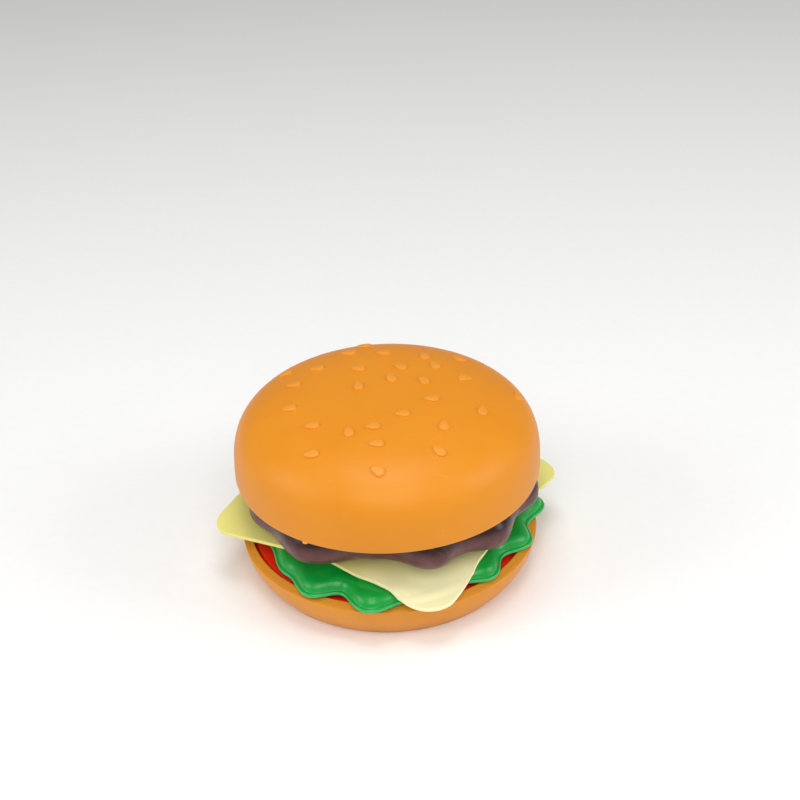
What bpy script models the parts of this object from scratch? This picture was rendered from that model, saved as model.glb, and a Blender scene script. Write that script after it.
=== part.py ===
"""A play-food hamburger: six loose layers of moulded plastic that stack between two bun halves.

The origin is the centre of the bottom bun's flat base. +Z is up and -Y is the front.
Every layer rests on the one below with a small gap, so that two faces never share a plane.
"""

import math

import bmesh
import bpy
from mathutils import Matrix, Vector

MM = 0.001

# ---- fits ----
REST_GAP = 0.3 * MM        # under each layer
SLIP_GAP = 0.3 * MM        # round a plate in its rim and a peg in its socket
WELD = 0.5 * MM            # how far a peg or a seed is sunk into the wall that it grows from

# ---- bottom bun ----
LOWER_R = 46.7 * MM        # crisp outer edge, the widest place
LOWER_TUCK = 6.1 * MM      # the flat base is this much smaller in radius
LOWER_BOW = 1.8            # exponent of the side's curve: 1 is a straight cone
LOWER_EDGE_H = 12.3 * MM   # height of the outer edge
LOWER_RIM_RISE = 1.1 * MM  # from the outer edge up to the rim's inner edge
LOWER_WALL = 1.3 * MM
TRAY_WALL = 1.2 * MM
TRAY_FLOOR = 1.5 * MM
SEAT_DEPTH = 3.9 * MM      # recess for the tomato slice

# ---- tomato slice ----
TOMATO_SLACK = 0.6 * MM    # round the slice in its recess
TOMATO_T = 2.5 * MM
CHAMBERS = 6               # seed chambers pressed into each face
CHAMBER_DEPTH = 0.6 * MM
TOMATO_SKIN = 5.0 * MM     # flesh left outside the chambers
TOMATO_CORE = 7.0 * MM     # radius of the solid core

# ---- lettuce leaf ----
LEAF_T = 1.3 * MM
LEAF_RISE = 6.0 * MM       # crown above the lip
LEAF_LIP = 1.0 * MM        # level width at the edge
LEAF_SKIRT = 17.0 * MM     # how far in from the edge the leaf has reached its full height
LEAF_ROUND = (2.0, 1.2)    # superellipse exponents of the skirt: the outer part is the steepest
LEAF_VALLEY = 2.1 * MM     # between lobes the edge stands this far inside the rim's middle
# Each lobe is (bearing, half its width in degrees, how far it stands out).
LEAF_LOBES = (
    (-177, 13, 4.2 * MM), (-142, 16, 2.2 * MM), (-125, 13, 4.2 * MM), (-113, 11, -1.8 * MM),
    (-100, 13, 4.2 * MM), (-49, 13, 4.2 * MM), (-23, 13, 4.2 * MM), (3, 13, 4.2 * MM),
    (29, 13, 4.2 * MM), (54, 13, 4.2 * MM), (80, 13, 4.2 * MM), (106, 13, 4.2 * MM),
    (131, 13, 4.2 * MM), (157, 13, 4.2 * MM),
)
LEAF_TURN = -100.0         # bearing of one corner of the outline, in degrees
LEAF_CORNERS = 3           # the whole outline is faintly three-cornered
LEAF_CORNER_SWING = 2.1 * MM
LEAF_SHIFT = (1.2 * MM, 0.0)

# ---- cheese slice ----
CHEESE_SIDE = 83.6 * MM
CHEESE_T = 1.3 * MM
CHEESE_CORNER_R = 8.5 * MM
CHEESE_TURN = -76.5        # bearing of the front corner, in degrees
CHEESE_SHIFT = (0.0, 4.8 * MM)
CHEESE_FLAT_R = 33.0 * MM  # each corner bends down past this distance along its diagonal
CHEESE_BEND = 1.4          # exponent of that bend
CHEESE_DROOPS = (9.4 * MM, 4.3 * MM, 4.0 * MM, 3.4 * MM)  # front, right, back, left corner
CHEESE_CLEARANCE = 0.7 * MM  # over and outside the leaf's skirt

# ---- beef patty ----
PATTY_H = 12.2 * MM
PATTY_WAIST_R = 38.5 * MM  # radius in the valleys between lobes
PATTY_WALL = 1.6 * MM
PATTY_HEAD_ROUND = (8.0 * MM, 6.0 * MM)   # inwards, and down from the top
PATTY_FOOT_ROUND = (6.0 * MM, 5.0 * MM)   # inwards, and up from the underside
PATTY_MOUTH_R = 29.0 * MM  # opening in the underside, closed by the base
# Each lobe is (bearing, half its width in degrees, how far it stands out).
PATTY_LOBES = (
    (-160, 30, 7.0 * MM), (-127, 26, 8.0 * MM), (-72, 20, 7.5 * MM), (-44, 24, 9.0 * MM),
    (-12, 28, 9.0 * MM), (22, 26, 8.0 * MM), (53, 22, 7.0 * MM), (84, 26, 8.5 * MM),
    (117, 24, 7.5 * MM), (149, 24, 8.0 * MM), (178, 18, 3.0 * MM),
)

# ---- top bun ----
UPPER_R = 47.5 * MM
UPPER_TUCK = 1.0 * MM      # the rim is this much smaller in radius
UPPER_H = 26.5 * MM        # rim to crown
UPPER_WIDEST_H = 1.7 * MM  # the widest place above the rim
UPPER_FLAT_R = 3.2         # superellipse exponents: how square the dome is, outwards and upwards
UPPER_FLAT_Z = 3.36
UPPER_WALL = 1.8 * MM
PLATE_RECESS = 1.5 * MM
PLATE_T = 1.5 * MM

# ---- sesame seeds on the crown ----
SEED_L = 4.6 * MM
SEED_W = 3.0 * MM
SEED_H = 0.7 * MM
# Each seed is (x, y, bearing of its narrow tip).
SEEDS = (
    (-3, -37, 140), (-22, -28, 180), (15, -30, 140), (-3, -27, 180), (17, -19, 90),
    (-4, -19, 180), (-11, -21, 90), (-22, -16, 180), (5, -13, 180), (29, -10, 90),
    (-29, -5, 180), (14, -5, 180), (-8, 4, 90), (12, 6, 120), (2, 8, 120), (25, 8, 0),
    (-28, 9, 180), (41, 5, 100), (-8, 15, 175), (5, 15, 145), (16, 16, 115), (-21, 18, 180),
    (-31, 20, 200), (13, 23, 100), (24, 23, 150), (0, 26, 170), (-11, 28, 180), (-6, 35, 180),
)

# ---- pegs that hold each shell to its plate ----
PEGS = 3
PEG_RING_R = 20.0 * MM
PEG_R = 1.5 * MM
SOCKET_WALL = 1.2 * MM
SOCKET_H = 8.0 * MM        # longest socket

# ---- fineness of the meshes ----
TURN_STEPS = 40
LEAF_STEPS = 84
PATTY_STEPS = 60
CORNER_STEPS = 4
SIDE_STEPS = 10
ARC_STEPS = 4

# ---- heights that follow from the layers ----
LOWER_RIM_H = LOWER_EDGE_H + LOWER_RIM_RISE
TRAY_TOP_H = LOWER_RIM_H - SEAT_DEPTH
TRAY_UNDER_H = TRAY_TOP_H - TRAY_FLOOR
TOMATO_H = TRAY_TOP_H + REST_GAP
LEAF_LIP_H = max(LOWER_RIM_H, TOMATO_H + TOMATO_T) + REST_GAP
LEAF_TOP_H = LEAF_LIP_H + LEAF_T + LEAF_RISE
CHEESE_H = LEAF_TOP_H + REST_GAP
PATTY_FOOT_H = CHEESE_H + CHEESE_T + REST_GAP
PATTY_TOP_H = PATTY_FOOT_H + PATTY_H
PLATE_H = PATTY_TOP_H + REST_GAP
UPPER_RIM_H = PLATE_H - PLATE_RECESS
CROWN_H = UPPER_RIM_H + UPPER_H

# ---- radii that follow from the fits ----
LOWER_FOOT_R = LOWER_R - LOWER_TUCK
UPPER_RIM_R = UPPER_R - UPPER_TUCK
TRAY_R = LOWER_R - LOWER_WALL - SLIP_GAP
SEAT_R = TRAY_R - TRAY_WALL
TOMATO_R = SEAT_R - TOMATO_SLACK
LEAF_R = (LOWER_R + SEAT_R) / 2
UPPER_MOUTH_R = UPPER_RIM_R - UPPER_WALL
PLATE_R = UPPER_MOUTH_R - SLIP_GAP
SOCKET_R = PEG_R + SLIP_GAP


# ---- helpers ----
def make_collection(name):
    collection = bpy.data.collections.new(name)
    bpy.context.scene.collection.children.link(collection)
    return collection


def plastic(name, colour, roughness):
    """Opaque moulded plastic. The colour is linear RGB."""
    material = bpy.data.materials.new(name)
    material.use_nodes = True
    shader = material.node_tree.nodes["Principled BSDF"]
    shader.inputs["Base Color"].default_value = (*colour, 1.0)
    shader.inputs["Roughness"].default_value = roughness
    shader.inputs["Metallic"].default_value = 0.0
    return material


def add_object(name, mesh, collection, material=None):
    obj = bpy.data.objects.new(name, mesh)
    collection.objects.link(obj)
    if material:
        mesh.materials.append(material)
        mesh.shade_smooth()
        mesh.set_sharp_from_angle(angle=math.radians(35))
    else:
        obj.hide_render = True
        obj.display_type = "WIRE"
    return obj


def turned(name, profile, material):
    """Revolves a profile of (radius, height) points that starts and ends on the axis."""
    mesh = bpy.data.meshes.new(name)
    edges = [(i, i + 1) for i in range(len(profile) - 1)]
    mesh.from_pydata([(r, 0.0, z) for r, z in profile], edges, [])
    obj = add_object(name, mesh, parts, material)
    screw = obj.modifiers.new("turn", "SCREW")
    screw.axis = "Z"
    screw.steps = screw.render_steps = TURN_STEPS
    screw.use_smooth_shade = True
    screw.use_merge_vertices = True
    screw.merge_threshold = 0.00001
    return obj


def lofted(rings):
    """A closed mesh skinned over rings of points. The first and last ring shrink to one point."""
    bm = bmesh.new()
    poles = [bm.verts.new(sum(ring, Vector()) / len(ring)) for ring in (rings[0], rings[-1])]
    loops = [[bm.verts.new(point) for point in ring] for ring in rings[1:-1]]
    count = len(loops[0])
    for i in range(count):
        j = (i + 1) % count
        bm.faces.new((poles[0], loops[0][i], loops[0][j]))
        bm.faces.new((poles[1], loops[-1][j], loops[-1][i]))
        for upper, lower in zip(loops, loops[1:]):
            bm.faces.new((upper[i], lower[i], lower[j], upper[j]))
    bmesh.ops.recalc_face_normals(bm, faces=bm.faces)
    mesh = bpy.data.meshes.new("loft")
    bm.to_mesh(mesh)
    bm.free()
    return mesh


def arc(centre, radii, start, end, steps=ARC_STEPS):
    """Points (r, z) along an elliptical arc, from one angle to another in degrees."""
    angles = [math.radians(start + (end - start) * i / steps) for i in range(steps + 1)]
    return [(centre[0] + radii[0] * math.cos(a), centre[1] + radii[1] * math.sin(a)) for a in angles]


def around(count, start=90.0):
    """Evenly spaced bearings, in degrees."""
    return [start + 360.0 * i / count for i in range(count)]


def at_bearing(radius, bearing, z=0.0):
    angle = math.radians(bearing)
    return Vector((radius * math.cos(angle), radius * math.sin(angle), z))


def lobed(lobes, bearing):
    """How far an outline stands out at a bearing: the sum of the lobes that reach it."""
    total = 0.0
    for middle, half_width, height in lobes:
        away = abs((bearing - middle + 180) % 360 - 180)
        if away < half_width:
            total += height * math.cos(math.pi / 2 * away / half_width) ** 2
    return total


def peg_posts(name, radius, low, high):
    """One upright cylinder at each peg, from one height to another."""
    bm = bmesh.new()
    for bearing in around(PEGS):
        place = Matrix.Translation(at_bearing(PEG_RING_R, bearing, (low + high) / 2))
        bmesh.ops.create_cone(bm, cap_ends=True, segments=12, radius1=radius, radius2=radius,
                              depth=high - low, matrix=place)
    mesh = bpy.data.meshes.new(name)
    bm.to_mesh(mesh)
    bm.free()
    return add_object(name, mesh, cutters)


def combine(obj, other, operation):
    boolean = obj.modifiers.new(other.name, "BOOLEAN")
    boolean.operation = operation
    boolean.solver = "EXACT"
    boolean.object = other


# ---- bottom bun ----
def lower_side_radius(z):
    """Outer radius of the bottom bun's rounded side."""
    drop = max(0.0, 1.0 - z / LOWER_EDGE_H)
    return LOWER_FOOT_R + LOWER_TUCK * (1.0 - drop ** LOWER_BOW)


def rim_height(radius):
    """The rim's top slopes up evenly from the crisp outer edge to the inner one."""
    return LOWER_EDGE_H + LOWER_RIM_RISE * (LOWER_R - radius) / (LOWER_R - SEAT_R)


def build_bottom_shell():
    """The bowl: a flat foot, a rounded side and a thin lip round the tray."""
    levels = [i / 6 for i in range(7)]
    outer = [(lower_side_radius(LOWER_EDGE_H * s * s), LOWER_EDGE_H * s * s) for s in levels]
    inner = [(r - LOWER_WALL, z) for r, z in outer if z > 2 * LOWER_WALL]
    lip = (LOWER_R - LOWER_WALL, rim_height(LOWER_R - LOWER_WALL))
    floor = [(0.0, LOWER_WALL), (LOWER_FOOT_R - LOWER_WALL, LOWER_WALL)]
    profile = floor + inner[:-1] + [lip] + outer[::-1] + [(0.0, 0.0)]
    shell = turned("bottom_bun_shell", profile, bun_plastic)
    pegs = peg_posts("bottom_pegs", PEG_R, LOWER_WALL - WELD, TRAY_UNDER_H - REST_GAP)
    combine(shell, pegs, "UNION")


def build_bottom_tray():
    """The lid of the bowl: the inner part of the rim, the tomato's recess and three sockets."""
    bowl_clearance = LOWER_WALL + SLIP_GAP
    profile = [
        (0.0, TRAY_TOP_H),
        (SEAT_R, TRAY_TOP_H),
        (SEAT_R, LOWER_RIM_H),
        (TRAY_R, rim_height(TRAY_R)),
        (lower_side_radius(TRAY_TOP_H) - bowl_clearance, TRAY_TOP_H),
        (lower_side_radius(TRAY_UNDER_H) - bowl_clearance, TRAY_UNDER_H),
        (0.0, TRAY_UNDER_H),
    ]
    tray = turned("bottom_bun_tray", profile, bun_plastic)
    foot = max(LOWER_WALL + REST_GAP, TRAY_UNDER_H - SOCKET_H)
    posts = peg_posts("tray_posts", SOCKET_R + SOCKET_WALL, foot, TRAY_UNDER_H + WELD)
    bores = peg_posts("tray_bores", SOCKET_R, foot - WELD, TRAY_UNDER_H)
    combine(tray, posts, "UNION")
    combine(tray, bores, "DIFFERENCE")


# ---- tomato slice ----
def chamber_cutter(name, low, high):
    """Egg-shaped pockets round the core, wider towards the skin."""
    inner = TOMATO_CORE
    outer = TOMATO_R - TOMATO_SKIN
    half_length = (outer - inner) / 2
    reach = (outer + inner) / 2
    half_width = 0.72 * reach * math.sin(math.pi / CHAMBERS)
    bm = bmesh.new()
    for bearing in around(CHAMBERS):
        turn = Matrix.Rotation(math.radians(bearing), 3, "Z")
        outline = []
        for i in range(14):
            t = 2 * math.pi * i / 14
            across = half_width * (1.0 + 0.35 * math.cos(t)) * math.sin(t)
            outline.append(turn @ Vector((reach + half_length * math.cos(t), across, low)))
        face = bm.faces.new([bm.verts.new(point) for point in outline])
        raised = bmesh.ops.extrude_face_region(bm, geom=[face])["geom"]
        lifted = [item for item in raised if isinstance(item, bmesh.types.BMVert)]
        bmesh.ops.translate(bm, verts=lifted, vec=(0, 0, high - low))
    bmesh.ops.recalc_face_normals(bm, faces=bm.faces)
    mesh = bpy.data.meshes.new(name)
    bm.to_mesh(mesh)
    bm.free()
    return add_object(name, mesh, cutters)


def build_tomato():
    """A round slice with a rolled edge and seed chambers pressed into both faces."""
    top = TOMATO_H + TOMATO_T
    roll = TOMATO_T / 2
    edge = arc((TOMATO_R - roll, TOMATO_H + roll), (roll, roll), 90, -90)
    tomato = turned("tomato_slice", [(0.0, top)] + edge + [(0.0, TOMATO_H)], tomato_plastic)
    combine(tomato, chamber_cutter("chambers_above", top - CHAMBER_DEPTH, top + WELD), "DIFFERENCE")
    below = chamber_cutter("chambers_below", TOMATO_H - WELD, TOMATO_H + CHAMBER_DEPTH)
    combine(tomato, below, "DIFFERENCE")


# ---- lettuce leaf ----
def leaf_swing(bearing):
    """How far the leaf's edge stands out past the middle of the rim at a bearing."""
    corner = LEAF_CORNER_SWING * math.cos(LEAF_CORNERS * math.radians(bearing - LEAF_TURN))
    return lobed(LEAF_LOBES, bearing) - LEAF_VALLEY + corner


def leaf_rise(inward):
    """Height above the lip at a distance in from the edge."""
    share = (inward - LEAF_LIP) / (LEAF_SKIRT - LEAF_LIP)
    share = min(1.0, max(0.0, share))
    outwards, upwards = LEAF_ROUND
    return LEAF_RISE * (1.0 - (1.0 - share) ** outwards) ** (1.0 / upwards)


def leaf_fade(inward):
    """The share of the edge's swing that is left at a distance in from the edge."""
    return max(0.0, 1.0 - (inward / LEAF_SKIRT) ** 2)


def leaf_point(inward, bearing):
    """A point of the upper face."""
    radius = LEAF_R - inward + leaf_fade(inward) * leaf_swing(bearing)
    height = LEAF_LIP_H + LEAF_T + leaf_rise(inward)
    return at_bearing(radius, bearing, height) + Vector((*LEAF_SHIFT, 0.0))


def height_over_leaf(x, y):
    """Height that clears the upper face at a place, by the cheese's clearance up and inwards."""
    x -= LEAF_SHIFT[0]
    y -= LEAF_SHIFT[1]
    swing = leaf_swing(math.degrees(math.atan2(y, x)))
    inward = 0.0
    for _ in range(8):
        inward = LEAF_R + leaf_fade(max(0.0, inward)) * swing - math.hypot(x, y)
    inward += CHEESE_CLEARANCE
    return LEAF_LIP_H + CHEESE_CLEARANCE + (LEAF_T + leaf_rise(inward) if inward > 0 else 0.0)


def build_lettuce():
    """A low wavy dome whose level lip lies on the bun's rim."""
    shares = (1.0, 0.65, 0.42, 0.26, 0.15, 0.07, 0.02, 0.0)
    insets = [LEAF_LIP + share * (LEAF_SKIRT - LEAF_LIP) for share in shares[:-1]] + [0.0]
    bm = bmesh.new()
    middle = bm.verts.new((*LEAF_SHIFT, LEAF_TOP_H))
    loops = [[bm.verts.new(leaf_point(inset, bearing)) for bearing in around(LEAF_STEPS)]
             for inset in insets]
    fill_rings(bm, loops, middle)
    finish_sheet("lettuce_leaf", bm, leaf_plastic, LEAF_T, -1.0)


def fill_rings(bm, loops, middle=None):
    """Faces between rings that run from the inside outwards, facing up."""
    count = len(loops[0])
    if middle is None:
        bm.faces.new(loops[0])
    for i in range(count):
        j = (i + 1) % count
        if middle:
            bm.faces.new((middle, loops[0][i], loops[0][j]))
        for inner, outer in zip(loops, loops[1:]):
            bm.faces.new((inner[i], outer[i], outer[j], inner[j]))


def finish_sheet(name, bm, material, thickness, side):
    """Makes an object of one face of a sheet. The sheet grows up from it (1) or down (-1)."""
    mesh = bpy.data.meshes.new(name)
    bm.to_mesh(mesh)
    bm.free()
    solid = add_object(name, mesh, parts, material).modifiers.new("thickness", "SOLIDIFY")
    solid.thickness = thickness
    solid.offset = side
    solid.use_even_offset = True


# ---- cheese slice ----
def rounded_square(side, corner_r):
    """Outline points of a square whose corners lie on the axes, with an arc at each corner."""
    points = []
    centre_r = (side / 2 - corner_r) * math.sqrt(2)
    for corner in around(4, 0.0):
        centre = at_bearing(centre_r, corner)
        for i in range(CORNER_STEPS + 1):
            points.append(centre + at_bearing(corner_r, corner - 45 + 90 * i / CORNER_STEPS))
        start = centre + at_bearing(corner_r, corner + 45)
        end = at_bearing(centre_r, corner + 90) + at_bearing(corner_r, corner + 45)
        points += [start.lerp(end, i / SIDE_STEPS) for i in range(1, SIDE_STEPS)]
    return points


def cheese_droop(point):
    """How far a corner has bent down at a point of the slice, with the front corner on +X."""
    tip = (CHEESE_SIDE / 2 - CHEESE_CORNER_R) * math.sqrt(2) + CHEESE_CORNER_R
    droop = 0.0
    for corner, most in zip(around(4, 0.0), CHEESE_DROOPS):
        past = point.dot(at_bearing(1.0, corner)) - CHEESE_FLAT_R
        if past > 0:
            droop += most * (past / (tip - CHEESE_FLAT_R)) ** CHEESE_BEND
    return droop


def cheese_point(point):
    """A point of the slice's lower face: it bends down at the corners but never into the leaf."""
    turn = Matrix.Rotation(math.radians(CHEESE_TURN), 3, "Z")
    place = turn @ point + Vector((*CHEESE_SHIFT, 0.0))
    hanging = CHEESE_H - cheese_droop(point)
    place.z = max(hanging, min(height_over_leaf(place.x, place.y), CHEESE_H))
    return place


def build_cheese():
    """A thin square slice whose four corners hang over the leaf's skirt."""
    outline = rounded_square(CHEESE_SIDE, CHEESE_CORNER_R)
    bm = bmesh.new()
    loops = [[bm.verts.new(cheese_point(point * share)) for point in outline]
             for share in (0.35, 0.5, 0.62, 0.72, 0.8, 0.87, 0.94, 1.0)]
    fill_rings(bm, loops)
    finish_sheet("cheese_slice", bm, cheese_plastic, CHEESE_T, 1.0)


# ---- beef patty ----
def patty_radius(bearing):
    """The patty's widest radius at a bearing: the waist plus what each near lobe adds."""
    return PATTY_WAIST_R + lobed(PATTY_LOBES, bearing)


def patty_ring(inset, z, share=1.0):
    """One ring of the patty. share 0 gives the round mouth, 1 gives the lobed outline."""
    ring = []
    for bearing in around(PATTY_STEPS, 0.0):
        radius = PATTY_MOUTH_R + share * (patty_radius(bearing) - inset - PATTY_MOUTH_R)
        if z > UPPER_RIM_H - REST_GAP:
            radius = min(radius, UPPER_MOUTH_R - SLIP_GAP)
        ring.append(at_bearing(radius, bearing, z))
    return ring


def patty_side(wall, steps):
    """(inset, height) down the rounded side, moved in by a wall."""
    inward, down = PATTY_HEAD_ROUND
    head = arc((-inward, PATTY_TOP_H - down), (inward - wall, down - wall), 90, 0, steps)
    under, up = PATTY_FOOT_ROUND
    foot = arc((-under, PATTY_FOOT_H + up), (under - wall, up - wall), 0, -90, steps)
    return [(-r, z) for r, z in head + foot]


def build_patty_shell():
    """The lobed patty, hollow inside, with a round mouth in its underside."""
    outside = [patty_ring(inset, z) for inset, z in patty_side(0.0, ARC_STEPS)]
    inside = [patty_ring(inset, z) for inset, z in patty_side(PATTY_WALL, 2)]
    mouth = [patty_ring(0.0, PATTY_FOOT_H, 0.0), patty_ring(0.0, PATTY_FOOT_H + PATTY_WALL, 0.0)]
    crown = [at_bearing(0.0, 0.0, PATTY_TOP_H)] * PATTY_STEPS
    ceiling = [at_bearing(0.0, 0.0, PATTY_TOP_H - PATTY_WALL)] * PATTY_STEPS
    mesh = lofted([crown] + outside + mouth + inside[::-1] + [ceiling])
    shell = add_object("patty_shell", mesh, parts, patty_plastic)
    low = PATTY_FOOT_H + PATTY_WALL + REST_GAP
    pegs = peg_posts("patty_pegs", PEG_R, low, PATTY_TOP_H - PATTY_WALL + WELD)
    combine(shell, pegs, "UNION")


def build_patty_base():
    """The round plate in the patty's underside, with a socket for each peg."""
    radius = PATTY_MOUTH_R - SLIP_GAP
    top = PATTY_FOOT_H + PATTY_WALL
    profile = [(0.0, top), (radius, top), (radius, PATTY_FOOT_H), (0.0, PATTY_FOOT_H)]
    base = turned("patty_base", profile, patty_plastic)
    head = min(PATTY_TOP_H - PATTY_WALL - REST_GAP, top + SOCKET_H)
    posts = peg_posts("patty_posts", SOCKET_R + SOCKET_WALL, top - WELD, head)
    bores = peg_posts("patty_bores", SOCKET_R, top, head + WELD)
    combine(base, posts, "UNION")
    combine(base, bores, "DIFFERENCE")


# ---- top bun ----
def dome_height(radius, wall=0.0):
    """Height of the dome's surface at a radius; a wall gives the inner surface."""
    share = min(1.0, radius / (UPPER_R - wall))
    rise = UPPER_H - UPPER_WIDEST_H - wall
    return UPPER_RIM_H + UPPER_WIDEST_H + rise * (1 - share ** UPPER_FLAT_R) ** (1 / UPPER_FLAT_Z)


def dome_arc(wall, steps):
    """(radius, height) from the crown down to the widest place."""
    points = []
    for i in range(steps + 1):
        angle = math.pi / 2 * (1 - i / steps)
        radius = (UPPER_R - wall) * math.cos(angle) ** (2 / UPPER_FLAT_R)
        points.append((radius, dome_height(radius, wall) if i < steps else UPPER_RIM_H + UPPER_WIDEST_H))
    points[0] = (0.0, dome_height(0.0, wall))
    return points


def seed_frame(x, y, bearing):
    """Turns and moves a seed so that it lies on the dome with its tip at a bearing."""
    step = 0.1 * MM
    radius = math.hypot(x, y)
    slope = (dome_height(radius + step) - dome_height(radius - step)) / (2 * step)
    normal = Vector((-slope * x / radius, -slope * y / radius, 1.0)).normalized()
    tip = at_bearing(1.0, bearing)
    tip = (tip - normal * tip.dot(normal)).normalized()
    turn = Matrix((tip, normal.cross(tip), normal)).transposed().to_4x4()
    return Matrix.Translation((x, y, dome_height(radius))) @ turn


def seed_tool():
    """Flattened teardrops, sunk a little into the crown."""
    bm = bmesh.new()
    for x, y, bearing in SEEDS:
        made = bmesh.ops.create_uvsphere(bm, u_segments=8, v_segments=4, radius=1.0)
        for vert in made["verts"]:
            taper = 1.0 - 0.35 * vert.co.x
            height = SEED_H if vert.co.z > 0 else WELD
            vert.co = Vector((vert.co.x * SEED_L / 2, vert.co.y * taper * SEED_W / 2, vert.co.z * height))
        frame = seed_frame(x * MM, y * MM, bearing)
        bmesh.ops.transform(bm, matrix=frame, verts=made["verts"])
    mesh = bpy.data.meshes.new("seeds")
    bm.to_mesh(mesh)
    bm.free()
    return add_object("seeds", mesh, cutters)


def build_dome():
    """The crown of the bun: an open shell with a narrow rim, seeds outside and pegs inside."""
    ledge = PLATE_H + PLATE_T + REST_GAP
    outer = dome_arc(0.0, 10)
    inner = [(r, z) for r, z in dome_arc(UPPER_WALL, 6) if z > ledge and r < UPPER_MOUTH_R]
    lip = 0.5 * MM
    profile = inner + [
        (UPPER_MOUTH_R, ledge),
        (UPPER_MOUTH_R, UPPER_RIM_H + lip),
        (UPPER_MOUTH_R + lip, UPPER_RIM_H),
        (UPPER_RIM_R - lip, UPPER_RIM_H),
        (UPPER_RIM_R, UPPER_RIM_H + lip),
    ] + outer[::-1]
    dome = turned("top_bun_dome", profile, bun_plastic)
    combine(dome, seed_tool(), "UNION")
    low = PLATE_H + PLATE_T + REST_GAP
    pegs = peg_posts("dome_pegs", PEG_R, low, dome_height(PEG_RING_R, UPPER_WALL) + WELD)
    combine(dome, pegs, "UNION")


def build_plate():
    """The round plate that closes the dome, set back inside the rim, with a socket for each peg."""
    top = PLATE_H + PLATE_T
    profile = [(0.0, top), (PLATE_R, top), (PLATE_R, PLATE_H), (0.0, PLATE_H)]
    plate = turned("top_bun_plate", profile, bun_plastic)
    head = min(dome_height(PEG_RING_R + SOCKET_R, UPPER_WALL) - WELD, top + SOCKET_H)
    posts = peg_posts("plate_posts", SOCKET_R + SOCKET_WALL, top - WELD, head)
    bores = peg_posts("plate_bores", SOCKET_R, top, head + WELD)
    combine(plate, posts, "UNION")
    combine(plate, bores, "DIFFERENCE")


for old in list(bpy.data.objects):
    bpy.data.objects.remove(old, do_unlink=True)
parts = make_collection("toy_hamburger")
cutters = make_collection("cutters")
cutters.hide_render = True

bun_plastic = plastic("bun_plastic", (0.80, 0.30, 0.05), 0.42)
tomato_plastic = plastic("tomato_plastic", (0.68, 0.01, 0.005), 0.35)
leaf_plastic = plastic("leaf_plastic", (0.005, 0.27, 0.04), 0.35)
cheese_plastic = plastic("cheese_plastic", (0.80, 0.72, 0.28), 0.45)
patty_plastic = plastic("patty_plastic", (0.09, 0.055, 0.045), 0.40)

build_bottom_shell()
build_bottom_tray()
build_tomato()
build_lettuce()
build_cheese()
build_patty_shell()
build_patty_base()
build_dome()
build_plate()
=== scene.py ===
"""A play-food hamburger: bun, tomato, lettuce, cheese and patty, six loose layers of moulded plastic.

The origin is the centre of the bottom bun's base, +Z is up and -Y is the front. Lengths are metres.
Every layer is drawn here finer than its solid, in the same place, and rides on its own body.
"""

import math

import bmesh
import bpy
from mathutils import Matrix, Vector, noise


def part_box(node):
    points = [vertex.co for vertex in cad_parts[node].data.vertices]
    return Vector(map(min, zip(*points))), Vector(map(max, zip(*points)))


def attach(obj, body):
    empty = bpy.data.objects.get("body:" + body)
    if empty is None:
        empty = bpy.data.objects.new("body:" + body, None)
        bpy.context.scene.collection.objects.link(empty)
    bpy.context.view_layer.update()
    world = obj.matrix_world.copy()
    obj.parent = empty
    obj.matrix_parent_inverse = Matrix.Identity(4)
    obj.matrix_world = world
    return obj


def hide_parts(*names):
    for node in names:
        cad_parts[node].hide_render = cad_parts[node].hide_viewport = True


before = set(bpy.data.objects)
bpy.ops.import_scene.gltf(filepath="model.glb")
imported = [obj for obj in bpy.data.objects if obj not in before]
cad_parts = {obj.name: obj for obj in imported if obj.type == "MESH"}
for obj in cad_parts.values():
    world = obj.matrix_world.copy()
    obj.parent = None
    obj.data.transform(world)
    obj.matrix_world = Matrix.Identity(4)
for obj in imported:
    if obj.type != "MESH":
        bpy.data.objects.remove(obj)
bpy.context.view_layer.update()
MM = 0.001


# ==== bottom bun, lower half =====================================================================
# An open bowl, injection moulded in orange polypropylene, with a flat foot and a crisp outer edge.
# Three pegs inside push into the sockets of the tray that closes it.
BUN_WALL = 1.3 * MM
BUN_FOOT_R = 40.6 * MM
BUN_BOW = 1.8              # exponent of the side's curve
FOOT_RING = 5.0 * MM       # width of the ring that the bun stands on
FOOT_RECESS = 0.35 * MM
PARTING_H = 1.1 * MM       # the mould's parting line runs this far below the edge
PARTING_STEP = 0.12 * MM   # below it the side stands in by this much
PEG_RING_R = 20.0 * MM
PEG_R = 1.5 * MM
PEG_BEARINGS = (90, 210, 330)
SOCKET_R = 1.8 * MM
SOCKET_WALL = 1.2 * MM


def at_bearing(radius, bearing, z=0.0):
    """A point at a bearing in degrees, counted from +X towards +Y."""
    angle = math.radians(bearing)
    return Vector((radius * math.cos(angle), radius * math.sin(angle), z))


def filleted(corners, steps=5):
    """Points of a profile. Each corner is (radius, height, fillet), and a fillet gives an arc."""
    points = []
    for i, (r, z, fillet) in enumerate(corners):
        here = Vector((r, z))
        if fillet == 0 or i in (0, len(corners) - 1):
            points.append(here)
            continue
        back = Vector(corners[i - 1][:2]) - here
        ahead = Vector(corners[i + 1][:2]) - here
        half = back.angle(ahead) / 2
        cut = min(fillet / math.tan(half), 0.49 * back.length, 0.49 * ahead.length)
        start, end = here + back.normalized() * cut, here + ahead.normalized() * cut
        for j in range(steps + 1):
            t = j / steps
            points.append(start * (1 - t) ** 2 + here * 2 * t * (1 - t) + end * t * t)
    return points


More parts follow.
